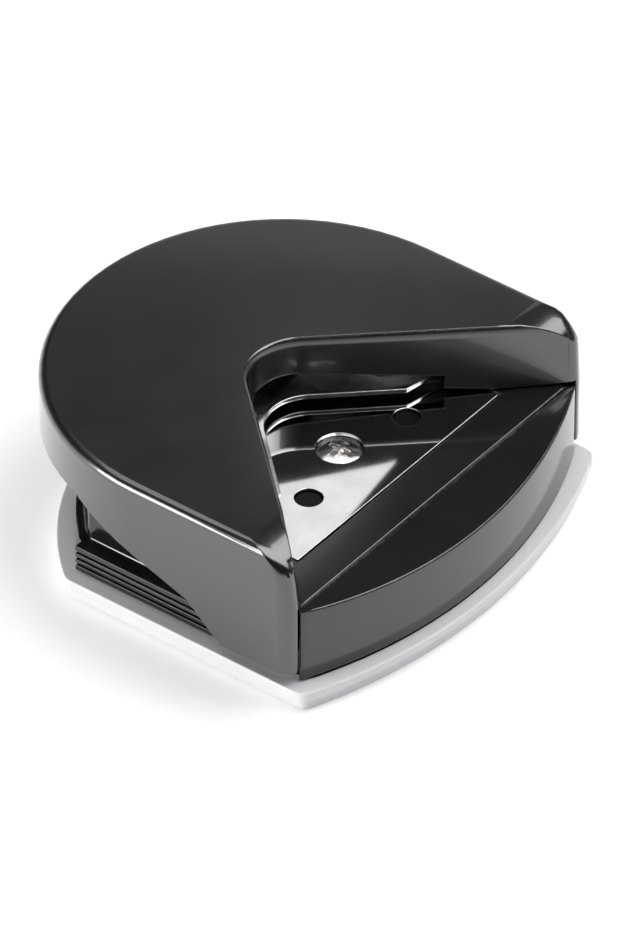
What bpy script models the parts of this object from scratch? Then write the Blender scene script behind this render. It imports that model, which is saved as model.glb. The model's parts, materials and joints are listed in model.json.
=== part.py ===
"""Corner rounder: a palm-sized press that cuts a small radius on a paper corner.

The paper's corner slides over the table and the flush die plate, under the guide
plate, into a V of two fences. Pressing the back of the lever turns it about the
pivot pin, and its pad drives the punch carrier and the punch through the die.
Metres, +Z up, +Y towards the back, origin under the middle of the whole part.
"""
import math

import bmesh
import bpy
from mathutils import Matrix, Vector

MM = 0.001

# Clearances that the pieces share
SEAT_GAP = 0.1 * MM
RUNNING_GAP = 0.3 * MM
PIVOT_GAP = 0.1 * MM
CUT_OVERRUN = 4.0 * MM

# Facets of round shapes
FINE_STEPS = 20
ROUND_STEPS = 8
SMALL_STEPS = 4
CYLINDER_SIDES = 24
SMOOTH_ANGLE = math.radians(32)

# Half widths, each from the one inside it
STEM_X = 11.0 * MM
CARRIER_END = 3.0 * MM
SCREW_LAND = 3.4 * MM
PLATE_END = 3.0 * MM
BODY_MARGIN = 6.5 * MM
EAR_WIDTH = 1.1 * MM
EAR_GAP = 0.4 * MM
ARM_THICKNESS = 1.9 * MM
TRAY_INSET = 0.3 * MM
CARRIER_HALF_LENGTH = STEM_X + CARRIER_END
GUIDE_SCREW_X = CARRIER_HALF_LENGTH + SCREW_LAND
PLATE_HALF_WIDTH = GUIDE_SCREW_X + PLATE_END
BODY_HALF_WIDTH = PLATE_HALF_WIDTH + BODY_MARGIN
BLOCK_HALF_WIDTH = BODY_HALF_WIDTH + EAR_WIDTH
ARM_INNER_X = BLOCK_HALF_WIDTH + EAR_GAP
LEVER_HALF_WIDTH = ARM_INNER_X + ARM_THICKNESS
TRAY_HALF_WIDTH = LEVER_HALF_WIDTH - TRAY_INSET

# Chip tray
TRAY_CORNER_Y = -24.9 * MM
TRAY_BOW = 6.5 * MM
TRAY_NOSE_RADIUS = 2.0 * MM
TRAY_REAR_Y = 26.8 * MM
TRAY_REAR_RADIUS = 38.0 * MM
TRAY_CORNER_RADIUS = 2.5 * MM
TRAY_HEIGHT = 3.0 * MM
TRAY_FLOOR = 1.0 * MM
TRAY_FLANGE = 1.3 * MM
TRAY_FLANGE_STEP = 0.6 * MM
TONGUE_LENGTH = 8.0 * MM
TONGUE_THICKNESS = 1.2 * MM
TONGUE_HEIGHT = 5.0 * MM
TONGUE_Y = 0.5 * MM

# Base frame
BASE_GAP = 0.3 * MM
TABLE_Z = 14.2 * MM
CHORD_Y = -23.2 * MM
BLOCK_BOW = 6.5 * MM
BLOCK_NOSE_RADIUS = 0.7 * MM
BLOCK_STEP = 0.5 * MM
CREASE_SETBACK = 0.6 * MM
CREASE_STEP = 0.2 * MM
LENS_DROP = 1.2 * MM
BODY_REAR_SETBACK = 2.4 * MM
BODY_CORNER_RADIUS = 2.2 * MM
BASE_WALL = 1.8 * MM
DECK_THICKNESS = 3.2 * MM
PLUG_STEP = 0.6 * MM
PLUG_DEPTH = 1.7 * MM
LEDGE_Z = 7.0 * MM
LEDGE_WIDTH = 1.2 * MM
RIB_FRONT_Y = -12.2 * MM
RIB_REAR_Y = 12.0 * MM
RIB_GROOVES = 3
RIB_GROOVE_DEPTH = 0.7 * MM
RIB_GROOVE_SHARE = 0.45

# Lever hinge
PIVOT_Y = -16.2 * MM
PIVOT_Z = 8.0 * MM
PIN_RADIUS = 1.5 * MM
PIN_END_GAP = 0.4 * MM
HINGE_BEAM_WIDTH = 8.0 * MM
HINGE_BEAM_DEPTH = 6.8 * MM
HINGE_BOSS_RADIUS = 3.0 * MM
HINGE_POCKET_DEPTH = 2.4 * MM
PRESS_ANGLE = math.radians(6.0)

# Lever shell
LEVER_REAR_Y = 31.4 * MM
LEVER_LOW_Z = 4.8 * MM
LEVER_WALL = 1.8 * MM
LEVER_ROOF = 1.6 * MM
TOP_EDGE_RADIUS = 1.2 * MM
NOTCH_EDGE_SHARE = 0.4
UNDER_STEP = 1.4 * MM
NOTCH_WALL = 1.6 * MM
NOTCH_SETBACK = 0.8 * MM
NOTCH_DRAFT = 1.2 * MM
MOUTH_MARGIN = 0.5 * MM
MOUTH_X = PLATE_HALF_WIDTH + MOUTH_MARGIN
MOUTH_Y = -17.0 * MM
MOUTH_CORNER_RADIUS = 0.8 * MM
TIP_INSET = 2.7 * MM
TIP_X = LEVER_HALF_WIDTH - TIP_INSET
TIP_Y = -23.7 * MM
TIP_RADIUS = 1.8 * MM
FRONT_ROUND_Y = -16.0 * MM
FRONT_ROUND_REACH = 7.3 * MM
FRONT_ROUND_DROP = 5.5 * MM
SKIRT_STEP_Y = -12.4 * MM
SKIRT_KNEE_Y = -7.2 * MM
SKIRT_KNEE_Z = 9.5 * MM
SKIRT_BEND_Y = 11.5 * MM
SKIRT_BEND_Z = 16.0 * MM
SKIRT_REAR_Z = 15.2 * MM
ROOF_RIB_SPACING = 12.0 * MM
ROOF_RIB_THICKNESS = 1.0 * MM
ROOF_RIB_DEPTH = 2.0 * MM
ROOF_RIB_FRONT_Y = 17.4 * MM

# Paper guide: the V edge of the guide plate
GUIDE_VERTEX_Y = 5.4 * MM
GUIDE_VERTEX_RADIUS = 6.0 * MM
GUIDE_END_X = 12.8 * MM
GUIDE_FRONT_Y = -9.8 * MM
GUIDE_THICKNESS = 0.6 * MM

# Die plate
PLATE_FRONT_Y = -16.8 * MM
PLATE_SIDE_END_Y = 3.0 * MM
PLATE_REAR_TAPER = 4.4 * MM
PLATE_REAR_HALF_WIDTH = PLATE_HALF_WIDTH - PLATE_REAR_TAPER
PLATE_REAR_Y = 16.0 * MM
PLATE_THICKNESS = 1.6 * MM

# Fences, punch and carrier
FENCE_VERTEX_Y = 11.0 * MM
FENCE_END = 0.8 * MM
FENCE_MOUTH_X = PLATE_HALF_WIDTH - FENCE_END
FENCE_FRONT_Y = FENCE_VERTEX_Y - FENCE_MOUTH_X
FENCE_THICKNESS = 0.8 * MM
CORNER_RADIUS = 4.0 * MM
PUNCH_HALF_WIDTH = 4.5 * MM
PUNCH_REAR_Y = 12.8 * MM
PUNCH_GAP = 0.25 * MM
PUNCH_LIFT = 0.25 * MM
CARRIER_Y = 10.4 * MM
CARRIER_HALF_WIDTH = 2.8 * MM
CARRIER_THICKNESS = 1.3 * MM
RIVET_RADIUS = 1.2 * MM
RIVET_DEPTH = 2.2 * MM
STEM_RADIUS = 1.2 * MM
STEM_BOTTOM_Z = 6.4 * MM
SPRING_RADIUS = 2.3 * MM
SPRING_WIRE_RADIUS = 0.3 * MM
SPRING_TURNS = 8
SPRING_STEPS = 10
SPRING_POCKET_RADIUS = 3.1 * MM
SPRING_POCKET_Z = 8.4 * MM
SPRING_BOSS_WALL = 1.1 * MM
CHUTE_MARGIN = 0.8 * MM

# Guide block
BLOCK_SETBACK = 5.0 * MM
BLOCK_HEIGHT = 1.7 * MM
BLOCK_FRONT_Y = -6.5 * MM
BLOCK_SLOT_GAP = 0.3 * MM

# Fasteners
SCREW_Y = -7.6 * MM
SCREW_HEAD_RADIUS = 2.9 * MM
SCREW_HEAD_RIM = 0.4 * MM
SCREW_HEAD_DEPTH = 1.2 * MM
SCREW_DOME = 0.45 * MM
SCREW_SHANK_RADIUS = 1.3 * MM
SCREW_LENGTH = 6.5 * MM
RECESS_LENGTH = 3.0 * MM
RECESS_WIDTH = 0.7 * MM
RECESS_DEPTH = 0.9 * MM
BOSS_WALL = 1.7 * MM
BOSS_FLOOR = 0.8 * MM
DOWEL_INSET = 1.0 * MM
DOWEL_X = STEM_X - DOWEL_INSET
DOWEL_Y = -10.5 * MM
DOWEL_RADIUS = 1.7 * MM
DOWEL_SINK = 0.4 * MM
DOWEL_LENGTH = 5.0 * MM
GUIDE_SCREW_Y = 0.0 * MM
GUIDE_SCREW_RADIUS = 1.0 * MM
GUIDE_SCREW_HEAD_RADIUS = 1.9 * MM
GUIDE_SCREW_HEAD = 1.0 * MM
GUIDE_SCREW_LENGTH = 7.6 * MM

# Pusher pad
PAD_HALF_LENGTH = 9.0 * MM
PAD_HALF_WIDTH = 1.5 * MM
PAD_NOSE = 0.6 * MM
PAD_STAND = 1.4 * MM
PAD_RIB_DEPTH = 0.7 * MM
PAD_RIB_WIDTH = 0.9 * MM

# Levels and places worked out from the sizes above
BASE_BOTTOM_Z = TRAY_HEIGHT + BASE_GAP
REAR_CENTRE_Y = TRAY_REAR_Y - TRAY_REAR_RADIUS
BODY_REAR_RADIUS = TRAY_REAR_RADIUS - BODY_REAR_SETBACK
DECK_UNDER_Z = TABLE_Z - DECK_THICKNESS
DIE_BOTTOM_Z = TABLE_Z - PLATE_THICKNESS
FENCE_BOTTOM_Z = TABLE_Z + SEAT_GAP
GUIDE_BOTTOM_Z = FENCE_BOTTOM_Z + FENCE_THICKNESS + SEAT_GAP
GUIDE_TOP_Z = GUIDE_BOTTOM_Z + GUIDE_THICKNESS
BLOCK_BOTTOM_Z = GUIDE_TOP_Z + SEAT_GAP
BLOCK_TOP_Z = BLOCK_BOTTOM_Z + BLOCK_HEIGHT
PUNCH_TRAVEL = (CARRIER_Y - PIVOT_Y) * PRESS_ANGLE
CARRIER_BOTTOM_Z = GUIDE_TOP_Z + PUNCH_TRAVEL + RUNNING_GAP
CARRIER_TOP_Z = CARRIER_BOTTOM_Z + CARRIER_THICKNESS
PUNCH_BOTTOM_Z = FENCE_BOTTOM_Z + FENCE_THICKNESS + PUNCH_LIFT
ROOF_Z = CARRIER_TOP_Z + PAD_STAND
LEVER_TOP_Z = ROOF_Z + LEVER_ROOF


def clear_scene():
    """Empty the scene and make one collection for the parts and one for the cutters."""
    for item in list(bpy.data.objects):
        bpy.data.objects.remove(item, do_unlink=True)
    collections = []
    for name in ("corner_rounder", "cutters"):
        group = bpy.data.collections.new(name)
        bpy.context.scene.collection.children.link(group)
        collections.append(group)
    return collections


PARTS, CUTTERS = clear_scene()


def plastic(name, colour, roughness):
    """A moulded plastic."""
    return finish(name, colour, roughness, 0.0)


def steel(name, colour, roughness):
    """A bare or blackened steel."""
    return finish(name, colour, roughness, 1.0)


def finish(name, colour, roughness, metallic):
    """One Principled material."""
    material = bpy.data.materials.new(name)
    material.use_nodes = True
    shader = material.node_tree.nodes["Principled BSDF"]
    shader.inputs["Base Color"].default_value = (*colour, 1.0)
    shader.inputs["Roughness"].default_value = roughness
    shader.inputs["Metallic"].default_value = metallic
    return material


def arc(centre_x, centre_y, radius, start, end, steps):
    """Points of an arc, both ends included."""
    points = []
    for index in range(steps + 1):
        angle = start + (end - start) * index / steps
        points.append((centre_x + radius * math.cos(angle), centre_y + radius * math.sin(angle)))
    return points


def circle(centre_x, centre_y, radius):
    """Points of a full circle."""
    return arc(centre_x, centre_y, radius, 0, math.tau, CYLINDER_SIDES)[:-1]


def mirrored(points):
    """A right-hand run followed by its mirror image, back to the start."""
    return points + [(-x, y) for x, y in reversed(points)]


def shrunk(radius, inset):
    """A corner's radius when its sides move inward."""
    return radius - inset if radius > inset else radius / 2


def bowed_outline(front_half, front_y, bow, nose_radius, side_half, rear_radius, corner_radius,
                  inset):
    """A bowed front, straight sides and a bowed rear; inset moves every side inward."""
    front_radius = (front_half ** 2 + bow ** 2) / (2 * bow)
    front_centre_y = front_y - bow + front_radius
    radius = front_radius - inset
    half = front_half - inset
    nose = shrunk(nose_radius, inset)
    nose_x = half - nose
    nose_y = front_centre_y - math.sqrt((radius - nose) ** 2 - nose_x ** 2)
    sweep = math.atan2(nose_x, front_centre_y - nose_y)
    front = arc(0, front_centre_y, radius, -math.pi / 2, sweep - math.pi / 2, FINE_STEPS)
    side = side_half - inset
    rear = rear_radius - inset
    corner = shrunk(corner_radius, inset)
    corner_x = side - corner
    corner_y = REAR_CENTRE_Y + math.sqrt((rear - corner) ** 2 - corner_x ** 2)
    turn = math.atan2(corner_y - REAR_CENTRE_Y, corner_x)
    run = front[1:] + arc(nose_x, nose_y, nose, sweep - math.pi / 2, 0, SMALL_STEPS)[1:]
    if abs(side - half) > SEAT_GAP:
        run.append((side, nose_y + BLOCK_STEP))
    run += arc(corner_x, corner_y, corner, 0, turn, SMALL_STEPS)
    run += arc(0, REAR_CENTRE_Y, rear, turn, math.pi / 2, FINE_STEPS)[1:-1]
    return [front[0]] + run + [(0, REAR_CENTRE_Y + rear)] + [(-x, y) for x, y in reversed(run)]


def tray_outline(inset):
    return bowed_outline(TRAY_HALF_WIDTH, TRAY_CORNER_Y, TRAY_BOW, TRAY_NOSE_RADIUS,
                         TRAY_HALF_WIDTH, TRAY_REAR_RADIUS, TRAY_CORNER_RADIUS, inset)


def base_outline(inset):
    return bowed_outline(BLOCK_HALF_WIDTH, CHORD_Y, BLOCK_BOW, BLOCK_NOSE_RADIUS,
                         BODY_HALF_WIDTH, BODY_REAR_RADIUS, BODY_CORNER_RADIUS, inset)


def rounded(corners):
    """Points of an outline whose corners are (x, y, radius, steps), counter-clockwise."""
    points = []
    for index, (x, y, radius, steps) in enumerate(corners):
        here = Vector((x, y))
        before = (Vector(corners[index - 1][:2]) - here).normalized()
        after = (Vector(corners[(index + 1) % len(corners)][:2]) - here).normalized()
        half = before.angle(after) / 2
        start = here + before * radius / math.tan(half)
        centre = here + (before + after).normalized() * radius / math.sin(half)
        turn = math.pi - 2 * half
        side = 1 if (start - centre).cross(before) < 0 else -1
        spoke = start - centre
        for step in range(steps + 1):
            angle = side * turn * step / steps
            cos, sin = math.cos(angle), math.sin(angle)
            points.append((centre.x + spoke.x * cos - spoke.y * sin,
                           centre.y + spoke.x * sin + spoke.y * cos))
    return points


def inset_corners(corners, distances):
    """Move each edge inward by its own distance; edge i runs from corner i to i + 1."""
    count = len(corners)
    lines = []
    for index in range(count):
        a = Vector(corners[index][:2])
        b = Vector(corners[(index + 1) % count][:2])
        along = (b - a).normalized()
        inward = Vector((-along.y, along.x))
        lines.append((a + inward * distances[index], along))
    moved = []
    for index, (_x, _y, radius, steps) in enumerate(corners):
        (p, d), (q, e) = lines[index - 1], lines[index]
        point = p + d * ((q - p).cross(e) / d.cross(e))
        inset = (distances[index - 1] + distances[index]) / 2
        convex = d.cross(e) > 0
        moved.append((point.x, point.y, max(radius - inset if convex else radius + inset, PIVOT_GAP), steps))
    return moved


def guide_slope():
    """Fall of the V edge for each unit across."""
    return (GUIDE_VERTEX_Y - MOUTH_Y) / MOUTH_X


def guide_lean():
    """How far the V's point moves along Y for each unit that its sides move inward."""
    return math.sqrt(1 + guide_slope() ** 2)


def guide_edge(setback):
    """Right half of the V edge, from the middle outward, set back into the stack."""
    vertex = GUIDE_VERTEX_Y + setback * guide_lean()
    radius = GUIDE_VERTEX_RADIUS + setback
    centre_y = vertex - radius * guide_lean()
    sweep = math.atan(guide_slope())
    return arc(0, centre_y, radius, math.pi / 2, math.pi / 2 - sweep, ROUND_STEPS), vertex


def lever_corners(draft, wall, notch_wall):
    """The lever's outline, walls moved inward, and the notch set back by its draft as well."""
    vertex_y = GUIDE_VERTEX_Y + NOTCH_SETBACK * guide_lean()
    mouth_y = MOUTH_Y + NOTCH_SETBACK
    tip_slope = (MOUTH_Y - TIP_Y) / (TIP_X - MOUTH_X)
    tip_y = mouth_y - (LEVER_HALF_WIDTH - MOUTH_X) * tip_slope
    rear_radius = LEVER_HALF_WIDTH - SEAT_GAP
    corners = [
        (LEVER_HALF_WIDTH, tip_y, TIP_RADIUS, SMALL_STEPS + 1),
        (LEVER_HALF_WIDTH, LEVER_REAR_Y, rear_radius, FINE_STEPS),
        (-LEVER_HALF_WIDTH, LEVER_REAR_Y, rear_radius, FINE_STEPS),
        (-LEVER_HALF_WIDTH, tip_y, TIP_RADIUS, SMALL_STEPS + 1),
        (-MOUTH_X, mouth_y, MOUTH_CORNER_RADIUS, SMALL_STEPS),
        (0, vertex_y, GUIDE_VERTEX_RADIUS, ROUND_STEPS + SMALL_STEPS),
        (MOUTH_X, mouth_y, MOUTH_CORNER_RADIUS, SMALL_STEPS),
    ]
    return inset_corners(corners, [wall] * 3 + [draft + notch_wall] * 4)


def plate(name, outlines, bottom, top, collection=PARTS):
    """A flat piece from one outline, with any further outlines as holes."""
    curve = bpy.data.curves.new(name, "CURVE")
    curve.dimensions = "2D"
    curve.fill_mode = "BOTH"
    curve.extrude = (top - bottom) / 2
    for outline in outlines:
        spline = curve.splines.new("POLY")
        spline.points.add(len(outline) - 1)
        for point, (x, y) in zip(spline.points, outline):
            point.co = (x, y, 0, 1)
        spline.use_cyclic_u = True
    drawing = bpy.data.objects.new(name + "_outline", curve)
    bpy.context.scene.collection.objects.link(drawing)
    drawing.location.z = (top + bottom) / 2
    return as_mesh(drawing, name, collection)


def side_prism(name, profile, half_width, collection):
    """A profile of (y, z) points extruded along X, across the middle."""
    piece = plate(name, [profile], -half_width, half_width, collection)
    return lay_across(piece)


def lay_across(piece):
    """Turn a shape drawn in X and Y, and raised along Z, to Y, Z and X."""
    piece.data.transform(Matrix(((0, 0, 1, 0), (1, 0, 0, 0), (0, 1, 0, 0), (0, 0, 0, 1))))
    return piece


def as_mesh(drawing, name, collection):
    """Turn a curve object into a welded mesh object in world places."""
    bpy.context.view_layer.update()
    evaluated = drawing.evaluated_get(bpy.context.evaluated_depsgraph_get())
    mesh = bpy.data.meshes.new_from_object(evaluated)
    mesh.transform(drawing.matrix_world)
    bpy.data.objects.remove(drawing, do_unlink=True)
    work = bmesh.new()
    work.from_mesh(mesh)
    bmesh.ops.remove_doubles(work, verts=work.verts, dist=SEAT_GAP / 100)
    bmesh.ops.recalc_face_normals(work, faces=work.faces)
    work.to_mesh(mesh)
    work.free()
    return place(mesh, name, collection)


def place(mesh, name, collection):
    """Link a mesh as an object, as a part or as a cutter."""
    mesh.name = name
    piece = bpy.data.objects.new(name, mesh)
    collection.objects.link(piece)
    if collection is CUTTERS:
        piece.hide_render = True
        piece.display_type = "WIRE"
    return piece


def loft(name, sections, collection):
    """A skin through outlines of equal point count, given as (points, z), with flat ends."""
    work = bmesh.new()
    rings = []
    for points, level in sections:
        rings.append([work.verts.new((x, y, level)) for x, y in points])
    for low, high in zip(rings, rings[1:]):
        for index in range(len(low)):
            after = (index + 1) % len(low)
            work.faces.new((low[index], low[after], high[after], high[index]))
    work.faces.new(list(reversed(rings[0])))
    work.faces.new(rings[-1])
    bmesh.ops.recalc_face_normals(work, faces=work.faces)
    mesh = bpy.data.meshes.new(name)
    work.to_mesh(mesh)
    work.free()
    return place(mesh, name, collection)


def box(name, low, high, collection=CUTTERS):
    """A box between two corners."""
    work = bmesh.new()
    bmesh.ops.create_cube(work, size=1)
    for vert in work.verts:
        for axis in range(3):
            vert.co[axis] = low[axis] + (high[axis] - low[axis]) * (vert.co[axis] + 1 / 2)
    mesh = bpy.data.meshes.new(name)
    work.to_mesh(mesh)
    work.free()
    return place(mesh, name, collection)


def rod(name, centre, radius, low, high, axis="Z", collection=CUTTERS):
    """A round rod along Z or X; centre is the other two coordinates."""
    work = bmesh.new()
    bmesh.ops.create_cone(work, cap_ends=True, segments=CYLINDER_SIDES, radius1=radius,
                          radius2=radius, depth=high - low)
    middle = (low + high) / 2
    if axis == "Z":
        move = Matrix.Translation((*centre, middle))
    else:
        move = Matrix.Translation((middle, *centre)) @ Matrix.Rotation(math.pi / 2, 4, "Y")
    work.transform(move)
    mesh = bpy.data.meshes.new(name)
    work.to_mesh(mesh)
    work.free()
    return place(mesh, name, collection)


def turned(name, profile, centre, collection=PARTS):
    """A turned piece on a vertical axis; the (radius, z) profile runs from top to bottom."""
    mesh = bpy.data.meshes.new(name)
    points = [(radius, 0, level) for radius, level in profile]
    mesh.from_pydata(points, [(i, i + 1) for i in range(len(points) - 1)], [])
    piece = place(mesh, name, collection)
    piece.location = (*centre, 0)
    screw = piece.modifiers.new("turn", "SCREW")
    screw.steps = CYLINDER_SIDES
    screw.render_steps = CYLINDER_SIDES
    screw.use_merge_vertices = True
    screw.merge_threshold = SEAT_GAP / 100
    return piece


def combine(piece, others, operation):
    """Cut others out of the piece, or join them to it."""
    for other in others:
        modifier = piece.modifiers.new(other.name, "BOOLEAN")
        modifier.operation = operation
        modifier.object = other
        modifier.solver = "EXACT"


def cut(piece, *others):
    combine(piece, others, "DIFFERENCE")


def join(piece, *others):
    combine(piece, others, "UNION")


def dress(piece, material):
    """Give a finished piece its material and smooth round faces."""
    piece.data.materials.clear()
    piece.data.materials.append(material)
    piece.data.shade_smooth()
    piece.data.set_sharp_from_angle(angle=SMOOTH_ANGLE)
    return piece


def joint_empty(name, place_of):
    """An empty on a joint's axis."""
    empty = bpy.data.objects.new(name, None)
    empty.location = place_of
    PARTS.objects.link(empty)
    bpy.context.view_layer.update()
    return empty


def carry(empty, *pieces):
    """Hang pieces on a joint's empty and leave them where they are."""
    for piece in pieces:
        piece.parent = empty
        piece.matrix_parent_inverse = empty.matrix_world.inverted()


def chip_tray(material):
    """A shallow tray with a stepped rim and two snap tongues."""
    tray = plate("chip_tray", [tray_outline(TRAY_FLANGE_STEP)], 0, TRAY_HEIGHT - TRAY_FLANGE / 2)
    flange = plate("tray_flange", [tray_outline(0)], TRAY_HEIGHT - TRAY_FLANGE, TRAY_HEIGHT, CUTTERS)
    join(tray, flange)
    inside = plate("tray_inside", [base_outline(PLUG_STEP - RUNNING_GAP)], TRAY_FLOOR,
                   TRAY_HEIGHT + CUT_OVERRUN, CUTTERS)
    cut(tray, inside)
    outer = BODY_HALF_WIDTH - BASE_WALL - RUNNING_GAP
    for side in (-1, 1):
        near, far = sorted((side * outer, side * (outer - TONGUE_THICKNESS)))
        low = (near, TONGUE_Y - TONGUE_LENGTH / 2, TRAY_FLOOR / 2)
        high = (far, TONGUE_Y + TONGUE_LENGTH / 2, TRAY_FLOOR + TONGUE_HEIGHT)
        join(tray, box("tray_tongue", low, high))
    return dress(tray, material)


def ledge_cutter():
    """Takes the upper body in behind the ribbed steps, down to the ledge."""
    side = BODY_HALF_WIDTH - LEDGE_WIDTH
    front = RIB_FRONT_Y - RUNNING_GAP
    upper = [point for point in base_outline(LEDGE_WIDTH) if point[1] > RIB_FRONT_Y]
    wide = BODY_HALF_WIDTH + CUT_OVERRUN
    back = TRAY_REAR_Y + CUT_OVERRUN
    run = [(side, front)] + upper + [(-side, front)]
    loop = run + [(-wide, front), (-wide, back), (wide, back), (wide, front)]
    return plate("ledge_cut", [loop], LEDGE_Z, TABLE_Z + CUT_OVERRUN, CUTTERS)


def side_ribs(side):
    """The stepped block low on one side, with its grooves."""
    inner = side * (BODY_HALF_WIDTH - BASE_WALL / 2)
    outer = side * BLOCK_HALF_WIDTH
    low_x, high_x = sorted((inner, outer))
    ribs = box("side_ribs", (low_x, RIB_FRONT_Y, BASE_BOTTOM_Z),
               (high_x, RIB_REAR_Y, LEDGE_Z + LEDGE_WIDTH))
    pitch = (LEDGE_Z - BASE_BOTTOM_Z) / (RIB_GROOVES + 1)
    height = pitch * RIB_GROOVE_SHARE
    for index in range(RIB_GROOVES):
        level = BASE_BOTTOM_Z + pitch * (index + 1)
        near, far = sorted((outer - side * RIB_GROOVE_DEPTH, outer + side * CUT_OVERRUN))
        low = (near, RIB_FRONT_Y - CUT_OVERRUN, level - height / 2)
        high = (far, RIB_REAR_Y + CUT_OVERRUN, level + height / 2)
        cut(ribs, box("rib_groove", low, high))
    return ribs


def lens_cutter():
    """Steps down at the crease, then slopes the bowed strip in front of it to its edge."""
    crease = CHORD_Y + CREASE_SETBACK
    fall = LENS_DROP / BLOCK_BOW
    reach = BLOCK_BOW + CUT_OVERRUN
    low = TABLE_Z - CREASE_STEP
    profile = [(crease, low), (crease, TABLE_Z + CUT_OVERRUN),
               (crease - reach, TABLE_Z + CUT_OVERRUN), (crease - reach, low - reach * fall)]
    return side_prism("lens_cut", profile, BLOCK_HALF_WIDTH + CUT_OVERRUN, CUTTERS)


def screw_bosses():
    """Round bosses under the deck: place, outer radius and lower end of each."""
    bosses = [((0, SCREW_Y), SCREW_SHANK_RADIUS + BOSS_WALL, TABLE_Z - SCREW_LENGTH - BOSS_FLOOR)]
    for side in (-1, 1):
        bosses.append(((side * DOWEL_X, DOWEL_Y), DOWEL_RADIUS + BOSS_WALL,
                       TABLE_Z - DOWEL_SINK - DOWEL_LENGTH - BOSS_FLOOR))
        bosses.append(((side * GUIDE_SCREW_X, GUIDE_SCREW_Y), GUIDE_SCREW_RADIUS + BOSS_WALL,
                       BLOCK_TOP_Z - GUIDE_SCREW_HEAD - GUIDE_SCREW_LENGTH - BOSS_FLOOR))
        bosses.append(((side * STEM_X, CARRIER_Y), SPRING_POCKET_RADIUS + SPRING_BOSS_WALL,
                       STEM_BOTTOM_Z + SEAT_GAP))
    return bosses


def base_supports():
    """The hinge beam and the bosses that stand in the open underside."""
    half = HINGE_BEAM_WIDTH / 2
    high_z = DECK_UNDER_Z + DECK_THICKNESS / 4
    reach = BODY_HALF_WIDTH - BASE_WALL / 2
    supports = [box("hinge_beam", (-reach, PIVOT_Y - half, DECK_UNDER_Z - HINGE_BEAM_DEPTH),
                    (reach, PIVOT_Y + half, high_z))]
    for centre, radius, end in screw_bosses():
        supports.append(rod("boss", centre, radius, end, high_z))
    return supports


def base_holes():
    """Every hole that the base holds something in."""
    top = TABLE_Z + CUT_OVERRUN
    holes = [rod("screw_hole", (0, SCREW_Y), SCREW_SHANK_RADIUS + SEAT_GAP,
                 TABLE_Z - SCREW_LENGTH - SEAT_GAP, top)]
    for side in (-1, 1):
        holes.append(rod("dowel_hole", (side * DOWEL_X, DOWEL_Y), DOWEL_RADIUS + SEAT_GAP,
                         TABLE_Z - DOWEL_SINK - DOWEL_LENGTH - SEAT_GAP, top))
        holes.append(rod("guide_screw_hole", (side * GUIDE_SCREW_X, GUIDE_SCREW_Y),
                         GUIDE_SCREW_RADIUS + SEAT_GAP,
                         BLOCK_TOP_Z - GUIDE_SCREW_HEAD - GUIDE_SCREW_LENGTH - SEAT_GAP, top))
        holes.append(rod("spring_pocket", (side * STEM_X, CARRIER_Y), SPRING_POCKET_RADIUS,
                         SPRING_POCKET_Z, top))
        holes.append(rod("stem_bore", (side * STEM_X, CARRIER_Y), STEM_RADIUS + PIVOT_GAP,
                         STEM_BOTTOM_Z - CUT_OVERRUN, SPRING_POCKET_Z + CUT_OVERRUN))
        inner = side * (BODY_HALF_WIDTH - HINGE_POCKET_DEPTH)
        outer = side * (BODY_HALF_WIDTH + CUT_OVERRUN)
        near, far = sorted((inner, outer))
        holes.append(rod("hinge_pocket", (PIVOT_Y, PIVOT_Z), HINGE_BOSS_RADIUS + RUNNING_GAP,
                         near, far, "X"))
    holes.append(rod("pin_bore", (PIVOT_Y, PIVOT_Z), PIN_RADIUS + PIVOT_GAP,
                     -BODY_HALF_WIDTH - CUT_OVERRUN, BODY_HALF_WIDTH + CUT_OVERRUN, "X"))
    half = PUNCH_HALF_WIDTH + CHUTE_MARGIN
    low = (-half, FENCE_VERTEX_Y - PUNCH_HALF_WIDTH - CHUTE_MARGIN, DECK_UNDER_Z - CUT_OVERRUN)
    high = (half, PUNCH_REAR_Y + CHUTE_MARGIN, top)
    holes.append(box("chip_chute", low, high))
    return holes


def base_frame(material):
    """The moulded body: table, front block, side ribs, hinge beam and hollow underside."""
    base = plate("base_frame", [base_outline(0)], BASE_BOTTOM_Z, TABLE_Z)
    plug = plate("tray_plug", [base_outline(PLUG_STEP)], BASE_BOTTOM_Z - PLUG_DEPTH,
                 BASE_BOTTOM_Z + PLUG_DEPTH, CUTTERS)
    join(base, plug, side_ribs(-1), side_ribs(1))
    hollow = plate("base_hollow", [base_outline(BASE_WALL)], -CUT_OVERRUN, DECK_UNDER_Z, CUTTERS)
    cut(base, ledge_cutter(), lens_cutter(), hollow)
    join(base, *base_supports())
    recess = plate("plate_recess", [plate_outline(RUNNING_GAP / 2)], DIE_BOTTOM_Z - SEAT_GAP,
                   TABLE_Z + CUT_OVERRUN, CUTTERS)
    cut(base, recess, *base_holes())
    return dress(base, material)


def plate_outline(grow):
    """Outline shared by the die plate and its recess."""
    right = [(PLATE_HALF_WIDTH + grow, PLATE_FRONT_Y - grow),
             (PLATE_HALF_WIDTH + grow, PLATE_SIDE_END_Y),
             (PLATE_REAR_HALF_WIDTH + grow, PLATE_REAR_Y + grow)]
    return mirrored(right)


def punch_outline(grow):
    """The punch: two horns along the fences, and the corner radius between them."""
    half = PUNCH_HALF_WIDTH + grow
    radius = CORNER_RADIUS - grow
    vertex = FENCE_VERTEX_Y - grow * math.sqrt(2)
    centre_y = vertex - radius * math.sqrt(2)
    front = arc(0, centre_y, radius, math.pi / 4, math.pi / 2, ROUND_STEPS)
    right = [(half, PUNCH_REAR_Y + grow), (half, vertex - half)] + front[:-1]
    return right + [front[-1]] + [(-x, y) for x, y in reversed(right)]


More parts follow.
